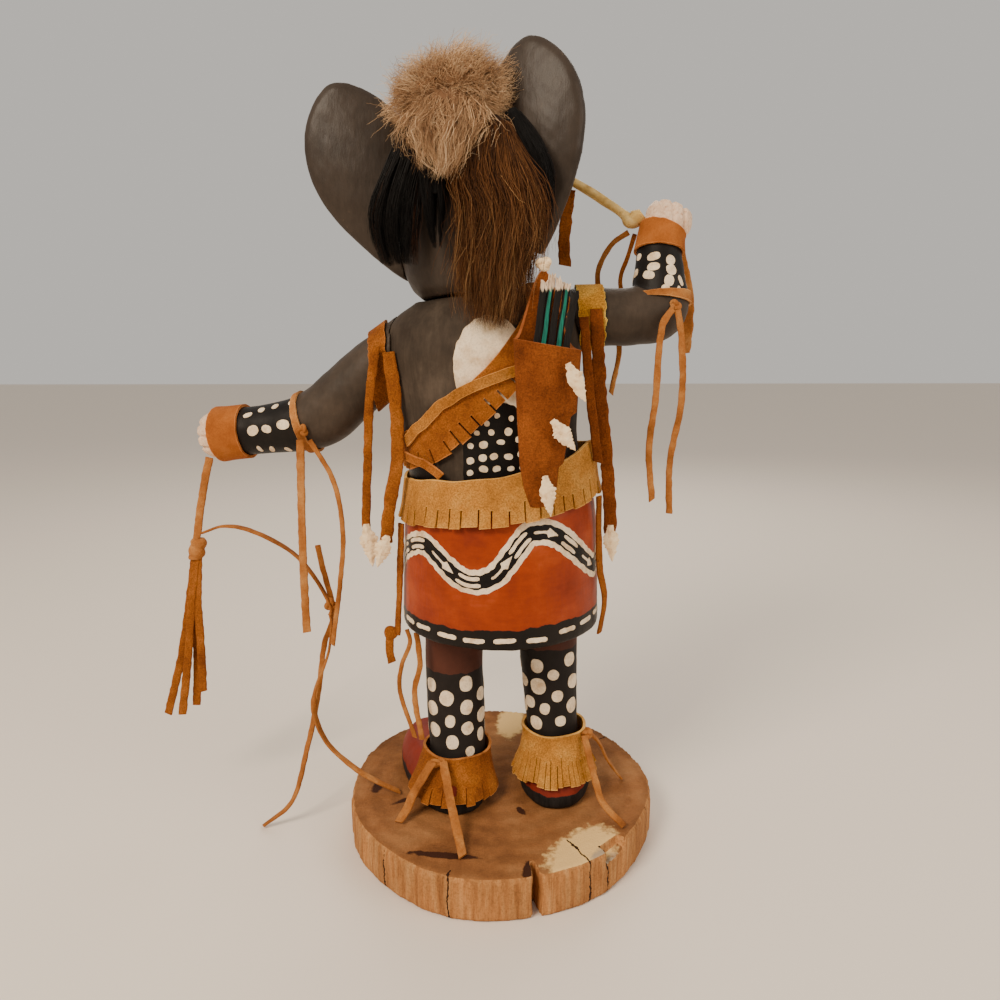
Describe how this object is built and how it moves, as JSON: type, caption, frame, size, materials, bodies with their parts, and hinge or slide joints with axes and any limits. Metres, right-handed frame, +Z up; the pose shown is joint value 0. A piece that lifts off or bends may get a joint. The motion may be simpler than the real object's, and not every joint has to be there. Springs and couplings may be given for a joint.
{
  "type": "kachina doll",
  "caption": "carved and painted wooden doll in an animal mask with large ears, dressed in leather and fur, with a quiver, standing on a slice of log",
  "frame": {"origin": "centre of the underside of the log slice, where the doll rests on a shelf", "axes": "+Z up, +Y the way the doll faces, +X towards its raised right arm; the picture looks along +Y at its back"},
  "size_m": [0.3055, 0.1765, 0.4171],
  "materials": {
    "painted_wood": "matte paint, hand-brushed",
    "log_wood": "raw, weathered",
    "suede_brown": "suede",
    "suede_tan": "suede",
    "lace_leather": "split leather lace",
    "beige_fur": "fur",
    "brown_fur": "fur",
    "black_hair": "hair",
    "black_slat": "satin paint",
    "teal_slat": "satin paint",
    "pale_stone": "chipped stone",
    "pale_twig": "peeled twig"
  },
  "bodies": {
    "root": {"base": "log_wood", "body": "painted_wood", "left_arm": "painted_wood", "right_arm": "painted_wood", "head": "painted_wood", "left_ear": "painted_wood", "right_ear": "painted_wood", "topknot": "beige_fur", "fur_tail": "brown_fur", "left_hair": "black_hair", "right_hair": "black_hair", "bandolier": "suede_brown", "bandolier_strap": "suede_tan", "waist_tie": "suede_brown", "belt": "suede_tan", "quiver": "suede_brown", "arrow_1": "black_slat", "arrow_2": "teal_slat", "arrow_3": "black_slat", "arrow_4": "teal_slat", "arrow_5": "black_slat", "shoulder_knot": "pale_stone", "quiver_point_1": "pale_stone", "quiver_point_2": "pale_stone", "quiver_point_3": "pale_stone", "left_shoulder_band": "suede_brown", "right_shoulder_band": "suede_tan", "left_strap_1": "suede_brown", "left_strap_2": "suede_brown", "right_strap_1": "suede_brown", "right_strap_2": "suede_brown", "left_point_1": "pale_stone", "left_point_2": "pale_stone", "right_point": "pale_stone", "left_wrist_cuff": "suede_tan", "right_wrist_cuff": "suede_tan", "left_elbow_tie": "lace_leather", "right_elbow_tie": "lace_leather", "left_elbow_tail_1": "lace_leather", "left_elbow_tail_2": "lace_leather", "right_elbow_tail_1": "lace_leather", "right_elbow_tail_2": "lace_leather", "left_ankle_cuff": "suede_brown", "right_ankle_cuff": "suede_tan", "left_ankle_tie": "lace_leather", "right_ankle_tie": "lace_leather", "left_hand_thong": "lace_leather", "tassel": "suede_brown", "lace_1": "lace_leather", "lace_2": "lace_leather", "stick": "pale_twig", "stick_thong_1": "lace_leather", "stick_thong_2": "suede_brown", "stick_leaf": "suede_brown", "forearm_strip": "lace_leather", "left_hip_strap": "suede_brown", "left_hip_lace_1": "lace_leather", "left_hip_lace_2": "lace_leather", "right_hip_strap": "suede_brown"}
  },
  "joints": []
}
